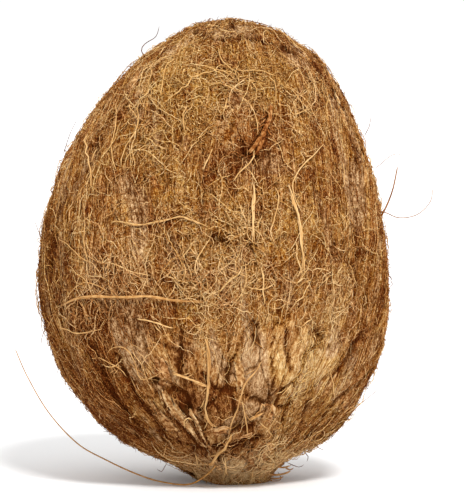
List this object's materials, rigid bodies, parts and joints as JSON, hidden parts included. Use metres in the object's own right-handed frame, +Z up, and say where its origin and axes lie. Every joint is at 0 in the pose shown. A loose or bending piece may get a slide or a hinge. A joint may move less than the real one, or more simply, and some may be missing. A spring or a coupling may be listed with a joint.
{
  "type": "coconut",
  "caption": "Mature dehusked coconut with a rough skin of brown husk fibre, standing on the flattened fibre tuft at its stem end.",
  "frame": {"origin": "on the surface that the coconut stands on, below the middle of its bounding box", "axes": "+Z up, along the nut's long axis from the stem end to the crown; -Y is the front, which shows the torn husk plates; +X is to the right of the front"},
  "size_m": [0.0984, 0.096, 0.13],
  "materials": {
    "husk": "matt brown coir: matted, streaked and torn husk fibre"
  },
  "bodies": {
    "root": {"coconut": "husk"}
  },
  "joints": []
}
